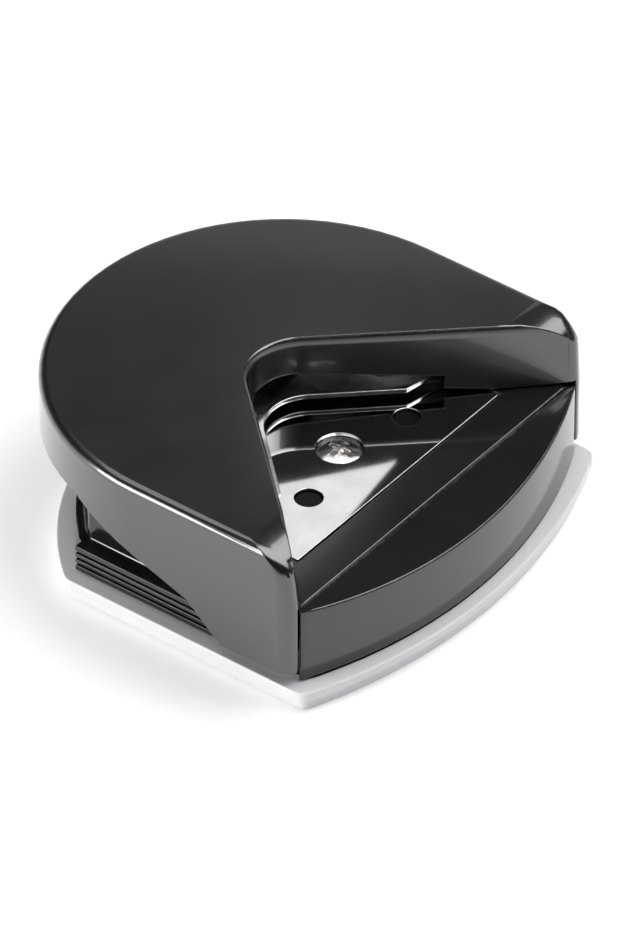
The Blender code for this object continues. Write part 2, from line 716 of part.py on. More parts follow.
def post_holes(grow):
    """Round holes that the stack of plates shares behind the fences."""
    holes = []
    for side in (-1, 1):
        holes.append(circle(side * STEM_X, CARRIER_Y, SPRING_POCKET_RADIUS + grow))
        holes.append(circle(side * GUIDE_SCREW_X, GUIDE_SCREW_Y, GUIDE_SCREW_RADIUS + SEAT_GAP))
    return holes


def die_plate(material):
    """The flush steel floor, with the die opening and its countersunk screw hole."""
    holes = [punch_outline(PUNCH_GAP)] + post_holes(0)
    for side in (-1, 1):
        holes.append(circle(side * DOWEL_X, DOWEL_Y, DOWEL_RADIUS + SEAT_GAP))
    floor = plate("die_plate", [plate_outline(0)] + holes, DIE_BOTTOM_Z, TABLE_Z)
    rim = SCREW_HEAD_RADIUS + SEAT_GAP
    shank = SCREW_SHANK_RADIUS + SEAT_GAP
    neck = TABLE_Z - SCREW_HEAD_DEPTH
    profile = [(0, TABLE_Z + CUT_OVERRUN), (rim, TABLE_Z + CUT_OVERRUN),
               (rim, TABLE_Z - SCREW_HEAD_RIM - SCREW_DOME), (shank, neck - SCREW_DOME),
               (shank, DIE_BOTTOM_Z - CUT_OVERRUN), (0, DIE_BOTTOM_Z - CUT_OVERRUN)]
    cut(floor, turned("countersink", profile, (0, SCREW_Y), CUTTERS))
    return dress(floor, material)


def fence_plate(material):
    """The spacer whose 90 degree V stops the paper's two edges."""
    half = PUNCH_HALF_WIDTH + PUNCH_GAP
    window = PUNCH_REAR_Y + PUNCH_GAP
    right = [(half, window), (half, FENCE_VERTEX_Y - half), (FENCE_MOUTH_X, FENCE_FRONT_Y),
             (PLATE_HALF_WIDTH, FENCE_FRONT_Y), (PLATE_HALF_WIDTH, PLATE_SIDE_END_Y),
             (PLATE_REAR_HALF_WIDTH, PLATE_REAR_Y)]
    fence = plate("fence_plate", [mirrored(right)] + post_holes(0), FENCE_BOTTOM_Z,
                  FENCE_BOTTOM_Z + FENCE_THICKNESS)
    return dress(fence, material)


def guide_plate(material):
    """The thin steel plate over the paper slot, with the V edge that shows."""
    curve, vertex = guide_edge(0)
    end = (GUIDE_END_X, vertex - guide_slope() * GUIDE_END_X)
    right = curve[1:] + [end, (PLATE_HALF_WIDTH, GUIDE_FRONT_Y),
                         (PLATE_HALF_WIDTH, PLATE_SIDE_END_Y), (PLATE_REAR_HALF_WIDTH, PLATE_REAR_Y)]
    outline = [curve[0]] + right + [(-x, y) for x, y in reversed(right)]
    holes = [punch_outline(PUNCH_GAP)] + post_holes(0)
    cover = plate("guide_plate", [outline] + holes, GUIDE_BOTTOM_Z, GUIDE_TOP_Z)
    return dress(cover, material)


def guide_block(material):
    """The moulded clamp: two cheeks beside the carrier's slot and a bar behind it."""
    slope = guide_slope()
    vertex = GUIDE_VERTEX_Y + BLOCK_SETBACK * guide_lean()
    slot = CARRIER_HALF_LENGTH + BLOCK_SLOT_GAP
    back = CARRIER_Y + CARRIER_HALF_WIDTH + BLOCK_SLOT_GAP
    front_x = (vertex - BLOCK_FRONT_Y) / slope
    right = [(slot, back), (slot, vertex - slope * slot), (front_x, BLOCK_FRONT_Y),
             (PLATE_HALF_WIDTH, BLOCK_FRONT_Y), (PLATE_HALF_WIDTH, PLATE_SIDE_END_Y),
             (PLATE_REAR_HALF_WIDTH, PLATE_REAR_Y)]
    clamp = plate("guide_block", [mirrored(right)], BLOCK_BOTTOM_Z, BLOCK_TOP_Z)
    for side in (-1, 1):
        centre = (side * GUIDE_SCREW_X, GUIDE_SCREW_Y)
        cut(clamp, rod("clamp_hole", centre, GUIDE_SCREW_RADIUS + SEAT_GAP,
                       BLOCK_BOTTOM_Z - CUT_OVERRUN, BLOCK_TOP_Z + CUT_OVERRUN))
        cut(clamp, rod("clamp_counterbore", centre, GUIDE_SCREW_HEAD_RADIUS + SEAT_GAP,
                       BLOCK_TOP_Z - GUIDE_SCREW_HEAD - SEAT_GAP, BLOCK_TOP_Z + CUT_OVERRUN))
    return dress(clamp, material)


def cross_recess(name, centre, top, length):
    """Two crossed bars that cut a screwdriver recess."""
    half, wide = length / 2, RECESS_WIDTH / 2
    x, y = centre
    bars = []
    for reach_x, reach_y in ((half, wide), (wide, half)):
        low = (x - reach_x, y - reach_y, top - RECESS_DEPTH)
        high = (x + reach_x, y + reach_y, top + CUT_OVERRUN)
        bars.append(box(name, low, high))
    join(bars[0], bars[1])
    return bars[0]


def plate_screw(material):
    """Countersunk screw with a low crown, its top level with the die plate."""
    rim = TABLE_Z - SCREW_DOME
    crown = []
    for index in range(SMALL_STEPS + 1):
        share = index / SMALL_STEPS
        radius = SCREW_HEAD_RADIUS * share
        crown.append((radius, TABLE_Z - SCREW_DOME * share ** 2))
    profile = crown + [(SCREW_HEAD_RADIUS, rim - SCREW_HEAD_RIM),
                       (SCREW_SHANK_RADIUS, rim - SCREW_HEAD_DEPTH),
                       (SCREW_SHANK_RADIUS, TABLE_Z - SCREW_LENGTH), (0, TABLE_Z - SCREW_LENGTH)]
    screw = turned("plate_screw", profile, (0, SCREW_Y))
    cut(screw, cross_recess("plate_recess_cross", (0, SCREW_Y), TABLE_Z, RECESS_LENGTH))
    return dress(screw, material)


def guide_screw(name, side, material):
    """Pan-head screw through the clamp and the plates into the base."""
    centre = (side * GUIDE_SCREW_X, GUIDE_SCREW_Y)
    neck = BLOCK_TOP_Z - GUIDE_SCREW_HEAD
    end = neck - GUIDE_SCREW_LENGTH
    profile = [(0, BLOCK_TOP_Z), (GUIDE_SCREW_HEAD_RADIUS, BLOCK_TOP_Z), (GUIDE_SCREW_HEAD_RADIUS, neck),
               (GUIDE_SCREW_RADIUS, neck), (GUIDE_SCREW_RADIUS, end), (0, end)]
    screw = turned(name, profile, centre)
    cut(screw, cross_recess(name + "_cross", centre, BLOCK_TOP_Z + RECESS_DEPTH / 2,
                            GUIDE_SCREW_HEAD_RADIUS))
    return dress(screw, material)


def locating_pin(name, side, material):
    """Blackened pin that locates the die plate, a little below its surface."""
    top = TABLE_Z - DOWEL_SINK
    pin = rod(name, (side * DOWEL_X, DOWEL_Y), DOWEL_RADIUS, top - DOWEL_LENGTH, top,
              collection=PARTS)
    return dress(pin, material)


def punch_blade(material):
    """The punch, ground to the corner radius."""
    blade = plate("punch_blade", [punch_outline(0)], PUNCH_BOTTOM_Z, CARRIER_BOTTOM_Z - SEAT_GAP)
    hole = rod("punch_hole", (0, CARRIER_Y), RIVET_RADIUS + SEAT_GAP,
               CARRIER_BOTTOM_Z - RIVET_DEPTH - SEAT_GAP, CARRIER_TOP_Z + CUT_OVERRUN)
    cut(blade, hole)
    return dress(blade, material)


def punch_rivet(material):
    """Flush rivet that holds the punch to the carrier."""
    rivet = rod("punch_rivet", (0, CARRIER_Y), RIVET_RADIUS, CARRIER_BOTTOM_Z - RIVET_DEPTH,
                CARRIER_TOP_Z, collection=PARTS)
    return dress(rivet, material)


def punch_carrier(material):
    """The steel cross bar, round ended, with its rivet and stem holes."""
    half = CARRIER_HALF_LENGTH - CARRIER_HALF_WIDTH
    right = arc(half, CARRIER_Y, CARRIER_HALF_WIDTH, -math.pi / 2, math.pi / 2, ROUND_STEPS)
    outline = right + [(-x, y) for x, y in reversed(right)]
    holes = [circle(0, CARRIER_Y, RIVET_RADIUS + SEAT_GAP)]
    for side in (-1, 1):
        holes.append(circle(side * STEM_X, CARRIER_Y, STEM_RADIUS + SEAT_GAP))
    bar = plate("punch_carrier", [outline] + holes, CARRIER_BOTTOM_Z, CARRIER_TOP_Z)
    return dress(bar, material)


def carrier_stem(name, side, material):
    """Guide stem, flush with the carrier and sliding in the base."""
    stem = rod(name, (side * STEM_X, CARRIER_Y), STEM_RADIUS, STEM_BOTTOM_Z, CARRIER_TOP_Z,
               collection=PARTS)
    return dress(stem, material)


def coil_points(centre, bottom, top):
    """Points along the middle of the spring's wire."""
    count = SPRING_TURNS * SPRING_STEPS
    points = []
    for index in range(count + 1):
        turn = math.tau * index / SPRING_STEPS
        level = bottom + (top - bottom) * index / count
        points.append(Vector((centre[0] + SPRING_RADIUS * math.cos(turn),
                              centre[1] + SPRING_RADIUS * math.sin(turn), level)))
    return points


def return_spring(name, side, material):
    """Helical spring round a stem, from the pocket's floor to the carrier."""
    centre = (side * STEM_X, CARRIER_Y)
    bottom = SPRING_POCKET_Z + SPRING_WIRE_RADIUS + SEAT_GAP
    top = CARRIER_BOTTOM_Z - SPRING_WIRE_RADIUS - SEAT_GAP
    points = coil_points(centre, bottom, top)
    gaps = [(points[i] - points[j]).length for i in range(len(points))
            for j in range(i + SPRING_STEPS // 2, len(points))]
    print(name, "least gap to itself, mm:", round((min(gaps) - 2 * SPRING_WIRE_RADIUS) / MM, 2))
    curve = bpy.data.curves.new(name, "CURVE")
    curve.dimensions = "3D"
    curve.bevel_depth = SPRING_WIRE_RADIUS
    curve.bevel_resolution = 1
    curve.use_fill_caps = True
    spline = curve.splines.new("POLY")
    spline.points.add(len(points) - 1)
    for point, where in zip(spline.points, points):
        point.co = (*where, 1)
    wire = bpy.data.objects.new(name + "_wire", curve)
    bpy.context.scene.collection.objects.link(wire)
    return dress(as_mesh(wire, name, PARTS), material)


def pivot_pin(material):
    """The hinge pin across the base, its ends in the lever's bosses."""
    half = LEVER_HALF_WIDTH - LEVER_WALL
    pin = rod("pivot_pin", (PIVOT_Y, PIVOT_Z), PIN_RADIUS, -half, half, "X", PARTS)
    return dress(pin, material)


def pusher_pad(material):
    """The round-nosed steel strip that bears on the carrier."""
    top = ROOF_Z - SEAT_GAP
    nose_z = CARRIER_TOP_Z + RUNNING_GAP + PAD_NOSE
    nose = []
    for index in range(ROUND_STEPS + 1):
        angle = math.pi + math.pi * index / ROUND_STEPS
        nose.append((CARRIER_Y + PAD_HALF_WIDTH * math.cos(angle),
                     nose_z + PAD_NOSE * math.sin(angle)))
    profile = nose + [(CARRIER_Y + PAD_HALF_WIDTH, top), (CARRIER_Y - PAD_HALF_WIDTH, top)]
    pad = side_prism("pusher_pad", profile, PAD_HALF_LENGTH, PARTS)
    return dress(pad, material)


def front_round_cutter(name, reach, drop, top, ease):
    """Rounds the lever's front over the arms; ease draws the round back at the sides."""
    half = LEVER_HALF_WIDTH
    stations = [(-half - CUT_OVERRUN, ease)]
    for index in range(ROUND_STEPS + 1):
        angle = math.pi / 2 * (1 - index / ROUND_STEPS)
        stations.append((-half + ease * (1 - math.sin(angle)), ease * (1 - math.cos(angle))))
    stations = [station for station in stations if ease > 0 or station == stations[0]]
    stations += [(-x, back) for x, back in reversed(stations)]
    sections = []
    front = TIP_Y - CUT_OVERRUN - reach
    high = top + CUT_OVERRUN
    for x, back in stations:
        curve = []
        for index in range(ROUND_STEPS + 1):
            angle = math.pi / 2 * (1 + index / ROUND_STEPS)
            curve.append((FRONT_ROUND_Y + (reach - back) * math.cos(angle),
                          top - drop + drop * math.sin(angle)))
        profile = curve + [(front, top - drop), (front, high), (FRONT_ROUND_Y, high)]
        sections.append((profile, x))
    return lay_across(loft(name, sections, CUTTERS))


def lever_body():
    """The outside of the lever: draft on the notch walls and rounded top edges."""
    def draft(level):
        return NOTCH_DRAFT * (level - TABLE_Z) / (LEVER_TOP_Z - TABLE_Z)

    sections = []
    for level in (LEVER_LOW_Z, TABLE_Z):
        sections.append((rounded(lever_corners(0, 0, 0)), level))
    for index in range(SMALL_STEPS + 1):
        angle = math.pi / 2 * index / SMALL_STEPS
        level = LEVER_TOP_Z - TOP_EDGE_RADIUS * (1 - math.sin(angle))
        inset = TOP_EDGE_RADIUS * (1 - math.cos(angle))
        corners = lever_corners(draft(level), inset, inset * NOTCH_EDGE_SHARE)
        sections.append((rounded(corners), level))
    body = loft("lever_shell", sections, PARTS)
    cut(body, front_round_cutter("front_round", FRONT_ROUND_REACH, FRONT_ROUND_DROP,
                                 LEVER_TOP_Z, TIP_RADIUS))
    inner = [(rounded(lever_corners(0, LEVER_WALL, NOTCH_WALL)), LEVER_LOW_Z - CUT_OVERRUN),
             (rounded(lever_corners(0, LEVER_WALL, NOTCH_WALL)), TABLE_Z),
             (rounded(lever_corners(draft(ROOF_Z), LEVER_WALL, NOTCH_WALL)), ROOF_Z)]
    hollow = loft("lever_hollow", inner, CUTTERS)
    reach = FRONT_ROUND_REACH - TIP_RADIUS - LEVER_WALL
    cut(hollow, front_round_cutter("hollow_round", reach, FRONT_ROUND_DROP, ROOF_Z, 0))
    cut(body, hollow)
    return body


def skirt_cutter():
    """Raises the skirt's lower edge behind the arms: steep, then slanting, then level."""
    low = LEVER_LOW_Z - CUT_OVERRUN
    back = LEVER_REAR_Y + CUT_OVERRUN
    profile = [(SKIRT_STEP_Y, low), (SKIRT_STEP_Y, LEVER_LOW_Z), (SKIRT_KNEE_Y, SKIRT_KNEE_Z),
               (SKIRT_BEND_Y, SKIRT_BEND_Z), (back, SKIRT_REAR_Z), (back, low)]
    return side_prism("skirt_cut", profile, LEVER_HALF_WIDTH + CUT_OVERRUN, CUTTERS)


def under_cutter():
    """Clears the arms and notch walls of the table and the guide plate when pressed."""
    slope = math.tan(PRESS_ANGLE)
    front = TIP_Y - CUT_OVERRUN
    step = GUIDE_FRONT_Y - UNDER_STEP
    back = CARRIER_Y - CARRIER_HALF_WIDTH
    low = LEVER_LOW_Z - CUT_OVERRUN
    over_table = TABLE_Z + RUNNING_GAP
    over_guide = GUIDE_TOP_Z + RUNNING_GAP + SEAT_GAP
    profile = [(front, low), (front, over_table), (PIVOT_Y, over_table),
               (step, over_table + (step - PIVOT_Y) * slope),
               (step, over_guide + (step - PIVOT_Y) * slope),
               (back, over_guide + (back - PIVOT_Y) * slope), (back, low)]
    return side_prism("under_cut", profile, ARM_INNER_X, CUTTERS)


def roof_ribs():
    """Stiffening ribs under the roof: two along the pad, and three running back."""
    top = ROOF_Z + LEVER_ROOF / 2
    ribs = []
    for side in (-1, 1):
        near = CARRIER_Y + side * (PAD_HALF_WIDTH + SEAT_GAP)
        far = near + side * PAD_RIB_WIDTH
        low_y, high_y = sorted((near, far))
        ribs.append(box("pad_rib", (-PAD_HALF_LENGTH, low_y, ROOF_Z - PAD_RIB_DEPTH),
                        (PAD_HALF_LENGTH, high_y, top)))
    half = ROOF_RIB_THICKNESS / 2
    inner = LEVER_HALF_WIDTH - LEVER_WALL
    centre_y = LEVER_REAR_Y - LEVER_HALF_WIDTH
    for index in (-1, 0, 1):
        x = index * ROOF_RIB_SPACING
        back = centre_y + math.sqrt(inner ** 2 - x ** 2) + LEVER_WALL / 2
        ribs.append(box("roof_rib", (x - half, ROOF_RIB_FRONT_Y, ROOF_Z - ROOF_RIB_DEPTH),
                        (x + half, back, top)))
    return ribs


def lever_shell(material):
    """The pressing lever: hollow shell, two arms and the bosses that hold the pin's ends."""
    shell = lever_body()
    cut(shell, skirt_cutter(), under_cutter())
    join(shell, *roof_ribs())
    for side in (-1, 1):
        inner = BODY_HALF_WIDTH - HINGE_POCKET_DEPTH + RUNNING_GAP
        near, far = sorted((side * inner, side * (LEVER_HALF_WIDTH - LEVER_WALL / 2)))
        join(shell, rod("hinge_boss", (PIVOT_Y, PIVOT_Z), HINGE_BOSS_RADIUS, near, far, "X"))
        end = LEVER_HALF_WIDTH - LEVER_WALL + PIN_END_GAP
        near, far = sorted((side * (inner - CUT_OVERRUN), side * end))
        cut(shell, rod("pin_socket", (PIVOT_Y, PIVOT_Z), PIN_RADIUS + PIVOT_GAP, near, far, "X"))
    return dress(shell, material)


def build():
    """Every piece, and the empties that the moving ones turn and slide on."""
    black = plastic("black_plastic", (0.02, 0.02, 0.022), 0.35)
    dark = plastic("inner_black_plastic", (0.03, 0.03, 0.032), 0.5)
    clear = plastic("clear_plastic", (0.86, 0.87, 0.88), 0.2)
    bright = steel("bright_steel", (0.8, 0.8, 0.8), 0.12)
    spring_steel = steel("spring_steel", (0.6, 0.6, 0.6), 0.3)
    blackened = steel("blackened_steel", (0.05, 0.05, 0.05), 0.45)

    tray = chip_tray(clear)
    base_frame(black)
    die_plate(bright)
    fence_plate(bright)
    guide_plate(bright)
    guide_block(dark)
    plate_screw(bright)
    pivot_pin(bright)
    for side, word in ((-1, "left"), (1, "right")):
        locating_pin("locating_pin_" + word, side, blackened)
        guide_screw("guide_screw_" + word, side, spring_steel)
        return_spring("return_spring_" + word, side, spring_steel)

    lever_axis = joint_empty("lever_axis", (0, PIVOT_Y, PIVOT_Z))
    carry(lever_axis, lever_shell(black), pusher_pad(spring_steel))

    punch_axis = joint_empty("punch_axis", (0, CARRIER_Y, CARRIER_BOTTOM_Z))
    carry(punch_axis, punch_blade(bright), punch_rivet(spring_steel), punch_carrier(spring_steel))
    for side, word in ((-1, "left"), (1, "right")):
        carry(punch_axis, carrier_stem("carrier_stem_" + word, side, bright))

    carry(joint_empty("tray_axis", (0, 0, 0)), tray)


build()
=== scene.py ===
"""Dresses the corner rounder: moulded plastics, ground steels, a plain stage and a camera.

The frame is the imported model. Each visible piece starts from its own solid, gets the small
edge rounds that the real moulding or sheet has, and a worked material. The two springs are
drawn anew as coils. Metres, +Z up, +Y towards the back, as the frame. Noise scales are per
millimetre.
"""
import json
import math

import bmesh
import bpy
from mathutils import Matrix, Vector

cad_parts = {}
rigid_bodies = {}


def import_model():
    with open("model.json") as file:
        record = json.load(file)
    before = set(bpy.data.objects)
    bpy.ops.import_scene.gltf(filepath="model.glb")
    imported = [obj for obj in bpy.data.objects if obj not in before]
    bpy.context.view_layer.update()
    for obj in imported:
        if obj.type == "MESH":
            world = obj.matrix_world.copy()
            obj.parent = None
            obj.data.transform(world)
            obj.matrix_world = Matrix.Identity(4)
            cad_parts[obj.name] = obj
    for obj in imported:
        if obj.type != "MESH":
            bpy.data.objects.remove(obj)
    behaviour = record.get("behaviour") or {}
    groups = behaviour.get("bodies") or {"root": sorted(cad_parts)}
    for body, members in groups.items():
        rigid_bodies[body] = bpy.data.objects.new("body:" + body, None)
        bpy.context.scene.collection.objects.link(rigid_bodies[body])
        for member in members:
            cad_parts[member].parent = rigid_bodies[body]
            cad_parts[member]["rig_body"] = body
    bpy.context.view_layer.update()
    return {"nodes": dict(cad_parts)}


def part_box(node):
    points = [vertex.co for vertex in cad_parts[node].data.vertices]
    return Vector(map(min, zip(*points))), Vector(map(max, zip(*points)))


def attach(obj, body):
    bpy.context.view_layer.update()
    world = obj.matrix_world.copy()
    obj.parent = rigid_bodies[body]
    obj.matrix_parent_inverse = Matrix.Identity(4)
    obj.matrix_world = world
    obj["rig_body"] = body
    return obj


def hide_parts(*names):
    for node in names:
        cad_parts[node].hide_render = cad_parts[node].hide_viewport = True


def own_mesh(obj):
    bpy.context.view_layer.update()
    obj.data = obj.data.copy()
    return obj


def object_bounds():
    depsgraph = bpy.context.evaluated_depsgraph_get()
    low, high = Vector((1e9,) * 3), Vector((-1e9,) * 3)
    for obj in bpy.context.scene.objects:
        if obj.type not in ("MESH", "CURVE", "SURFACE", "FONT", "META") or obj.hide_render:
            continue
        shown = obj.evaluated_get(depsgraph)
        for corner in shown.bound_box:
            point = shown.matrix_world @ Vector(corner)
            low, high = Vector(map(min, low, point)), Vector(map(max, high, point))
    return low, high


MM = 0.001

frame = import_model()


# Materials

COAT_ROUGHNESS = 0.08
RUB_SHEEN = -0.12
WEAR_SCALE = 0.9
WEAR_START, WEAR_END = 0.42, 0.62

MOULD_CLOUD_SCALE = 0.09
MOULD_SMUDGE_SCALE = 0.16
MOULD_SMOOTHER, MOULD_ROUGHER = 0.015, 0.02
MOULD_GRAIN_SCALE = 6.0
MOULD_SWELL_SCALE = 0.35
MOULD_SWELL_DEPTH = 0.006

STEEL_ANISOTROPY = 0.3
STEEL_CLOUD_SCALE = 0.3
STEEL_SHADE = 0.86
LAY_SMOOTHER, LAY_ROUGHER = -0.03, 0.05
CLOUD_SMOOTHER, CLOUD_ROUGHER = -0.02, 0.03

RING_SCALE = 2.2
RING_DISTORTION = 0.6
RING_DETAIL = 2.0
RING_SMOOTHER, RING_ROUGHER = 0.03, 0.05
TURNED_CLOUD_SCALE = 0.8
TURNED_SHADE = 0.8


def fresh(name, colour, roughness, metallic=0.0):
    """A Principled material, its node tree and its shader."""
    material = bpy.data.materials.new(name)
    material.use_nodes = True
    tree = material.node_tree
    shader = tree.nodes["Principled BSDF"]
    shader.inputs["Base Color"].default_value = (*colour, 1.0)
    shader.inputs["Roughness"].default_value = roughness
    shader.inputs["Metallic"].default_value = metallic
    return material, tree, shader


def place_coords(tree, scale=(1, 1, 1), offset=(0, 0, 0)):
    """Object coordinates in millimetres, stretched and moved."""
    coords = tree.nodes.new("ShaderNodeTexCoord")
    mapping = tree.nodes.new("ShaderNodeMapping")
    mapping.vector_type = "POINT"
    mapping.inputs["Scale"].default_value = [value / MM for value in scale]
    mapping.inputs["Location"].default_value = [-a * b for a, b in zip(offset, scale)]
    tree.links.new(coords.outputs["Object"], mapping.inputs["Vector"])
    return mapping.outputs["Vector"]


def noise(tree, vector, scale, detail=2.0):
    """Cloudy noise from 0 to 1."""
    node = tree.nodes.new("ShaderNodeTexNoise")
    node.inputs["Scale"].default_value = scale
    node.inputs["Detail"].default_value = detail
    tree.links.new(vector, node.inputs["Vector"])
    return node.outputs["Fac"]


def spread(tree, value, low, high, start=0.3, end=0.7):
    """Maps a value from start..end to low..high."""
    node = tree.nodes.new("ShaderNodeMapRange")
    limits = (("From Min", start), ("From Max", end), ("To Min", low), ("To Max", high))
    for name, number in limits:
        node.inputs[name].default_value = number
    tree.links.new(value, node.inputs["Value"])
    return node.outputs["Result"]


def combine(tree, a, b, operation):
    """One Math node of two numbers or sockets."""
    node = tree.nodes.new("ShaderNodeMath")
    node.operation = operation
    for socket, value in zip(node.inputs, (a, b)):
        if isinstance(value, (int, float)):
            socket.default_value = value
        else:
            tree.links.new(value, socket)
    return node.outputs["Value"]


def blend_colours(tree, share, first, second):
    """Mixes two colours or sockets by a share."""
    node = tree.nodes.new("ShaderNodeMix")
    node.data_type = "RGBA"
    tree.links.new(share, node.inputs["Factor"])
    for socket, value in ((node.inputs[6], first), (node.inputs[7], second)):
        if isinstance(value, tuple):
            socket.default_value = (*value, 1.0)
        else:
            tree.links.new(value, socket)
    return node.outputs[2]


def relief(tree, shader, layers):
    """Chains bump layers of (height, depth in mm) into the shader's normal."""
    normal = None
    for height, depth in layers:
        node = tree.nodes.new("ShaderNodeBump")
        node.inputs["Distance"].default_value = depth * MM
        tree.links.new(height, node.inputs["Height"])
        if normal is not None:
            tree.links.new(normal, node.inputs["Normal"])
        normal = node.outputs["Normal"]
    tree.links.new(normal, shader.inputs["Normal"])


def wear_mask(tree, vector):
    """Broken patches along the worked edges."""
    edge = tree.nodes.new("ShaderNodeAttribute")
    edge.attribute_name = "worn"
    patches = spread(tree, noise(tree, vector, WEAR_SCALE, 3.0), 0.0, 1.0, WEAR_START, WEAR_END)
    return combine(tree, edge.outputs["Fac"], patches, "MULTIPLY")


def moulded(name, deep, pale, roughness, grain, worn, gloss=0.0, mirror=0.5):
    """Moulded plastic: fine spark grain, soft cloudiness and rubbed edges."""
    material, tree, shader = fresh(name, deep, roughness)
    shader.inputs["Coat Weight"].default_value = gloss
    shader.inputs["Coat Roughness"].default_value = COAT_ROUGHNESS
    shader.inputs["Specular IOR Level"].default_value = mirror
    place = place_coords(tree)
    cloud = spread(tree, noise(tree, place, MOULD_CLOUD_SCALE, 3.0), 0.0, 1.0)
    body = blend_colours(tree, cloud, deep, pale)
    mask = wear_mask(tree, place)
    tree.links.new(blend_colours(tree, mask, body, worn), shader.inputs["Base Color"])
    smudge = spread(tree, noise(tree, place, MOULD_SMUDGE_SCALE, 4.0),
                    roughness - MOULD_SMOOTHER, roughness + MOULD_ROUGHER)
    rub = combine(tree, mask, RUB_SHEEN, "MULTIPLY")
    tree.links.new(combine(tree, smudge, rub, "ADD"), shader.inputs["Roughness"])
    relief(tree, shader, [(noise(tree, place, MOULD_GRAIN_SCALE, 2.0), grain),
                          (noise(tree, place, MOULD_SWELL_SCALE, 2.0), MOULD_SWELL_DEPTH)])
    return material


def ground_steel(name, colour, roughness, lay, depth, worn, swing=1.0):
    """Sheet or bar steel with the fine lay of grinding along one direction."""
    material, tree, shader = fresh(name, colour, roughness, 1.0)
    shader.inputs["Anisotropic"].default_value = STEEL_ANISOTROPY
    lines = noise(tree, place_coords(tree, lay), 1.0, 4.0)
    place = place_coords(tree)
    cloud = noise(tree, place, STEEL_CLOUD_SCALE, 3.0)
    dark = tuple(value * STEEL_SHADE for value in colour)
    tone = blend_colours(tree, spread(tree, cloud, 0.0, 1.0), dark, colour)
    mask = wear_mask(tree, place)
    tree.links.new(blend_colours(tree, mask, tone, worn), shader.inputs["Base Color"])
    mixed = combine(tree, spread(tree, lines, LAY_SMOOTHER * swing, LAY_ROUGHER * swing),
                    spread(tree, cloud, CLOUD_SMOOTHER * swing, CLOUD_ROUGHER * swing), "ADD")
    tree.links.new(combine(tree, mixed, roughness, "ADD"), shader.inputs["Roughness"])
    relief(tree, shader, [(lines, depth)])
    return material


def turned_steel(name, colour, roughness, centre, depth):
    """Round parts: rings of the turning tool about a vertical axis."""
    material, tree, shader = fresh(name, colour, roughness, 1.0)
    rings = tree.nodes.new("ShaderNodeTexWave")
    rings.wave_type = "RINGS"
    rings.rings_direction = "Z"
    rings.inputs["Scale"].default_value = RING_SCALE
    rings.inputs["Distortion"].default_value = RING_DISTORTION
    rings.inputs["Detail"].default_value = RING_DETAIL
    tree.links.new(place_coords(tree, (1, 1, 1), centre), rings.inputs["Vector"])
    cloud = noise(tree, place_coords(tree), TURNED_CLOUD_SCALE, 3.0)
    dark = tuple(value * TURNED_SHADE for value in colour)
    tone = blend_colours(tree, spread(tree, cloud, 0.0, 1.0), dark, colour)
    tree.links.new(tone, shader.inputs["Base Color"])
    ring_rough = spread(tree, rings.outputs["Fac"],
                        roughness - RING_SMOOTHER, roughness + RING_ROUGHER, 0.0, 1.0)
    tree.links.new(ring_rough, shader.inputs["Roughness"])
    relief(tree, shader, [(rings.outputs["Fac"], depth)])
    return material


LEVER_BLACK = moulded("lever_black", (0.0070, 0.0070, 0.0073), (0.0085, 0.0085, 0.0088), 0.24,
                      0.003, (0.05, 0.05, 0.05), gloss=1.0, mirror=1.0)
BASE_BLACK = moulded("base_black", (0.010, 0.010, 0.0105), (0.013, 0.013, 0.0135), 0.16,
                     0.002, (0.04, 0.04, 0.04), gloss=0.5, mirror=0.6)
INNER_BLACK = moulded("inner_black", (0.022, 0.022, 0.023), (0.030, 0.030, 0.031), 0.5,
                      0.008, (0.05, 0.05, 0.05))
TRAY_WHITE = moulded("tray_white", (0.83, 0.84, 0.85), (0.86, 0.87, 0.88), 0.22,
                     0.003, (0.88, 0.89, 0.9))
FLOOR_STEEL = ground_steel("floor_steel", (0.76, 0.76, 0.77), 0.03, (0.04, 7.0, 7.0),
                           0.00005, (0.8, 0.8, 0.8), swing=0.12)
SHEET_STEEL = ground_steel("sheet_steel", (0.78, 0.78, 0.78), 0.16, (7.0, 0.05, 7.0),
                           0.001, (0.9, 0.9, 0.9))
BAR_STEEL = ground_steel("bar_steel", (0.55, 0.55, 0.56), 0.28, (0.06, 5.0, 5.0),
                         0.003, (0.7, 0.7, 0.7))
WIRE_STEEL = ground_steel("wire_steel", (0.50, 0.50, 0.51), 0.30, (3.0, 3.0, 0.4),
                          0.002, (0.6, 0.6, 0.6))
SCREW_STEEL = turned_steel("screw_steel", (0.76, 0.75, 0.73), 0.16, (0, -7.6, 0), 0.004)
PIN_BLACK = turned_steel("pin_black", (0.03, 0.03, 0.032), 0.34, (-10.0, -10.5, 0), 0.003)


# Pieces that start from their solids

WELD_GAP = 0.002
FLAT_ANGLE = 0.4
SHARP_ANGLE = 28.0
SMOOTH_ANGLE = 40
EDGE_STEPS = 3
SHORTEST_EDGE = 1.2
FACE_WEIGHT = 90

# The ribs of the side steps keep crisp edges: width, low corner and high corner in mm.
RIB_WIDTH = 0.06
RIB_STEPS = 4
RIB_BOXES = {"base_frame": [((-28.1, -13, 1.5), (-26.4, 13, 7.5)),
                            ((26.4, -13, 1.5), (28.1, 13, 7.5))]}


def inside(edge, low, high):
    """Both ends in a box given in millimetres."""
    return all(low[axis] <= vert.co[axis] / MM <= high[axis]
               for vert in edge.verts for axis in range(3))


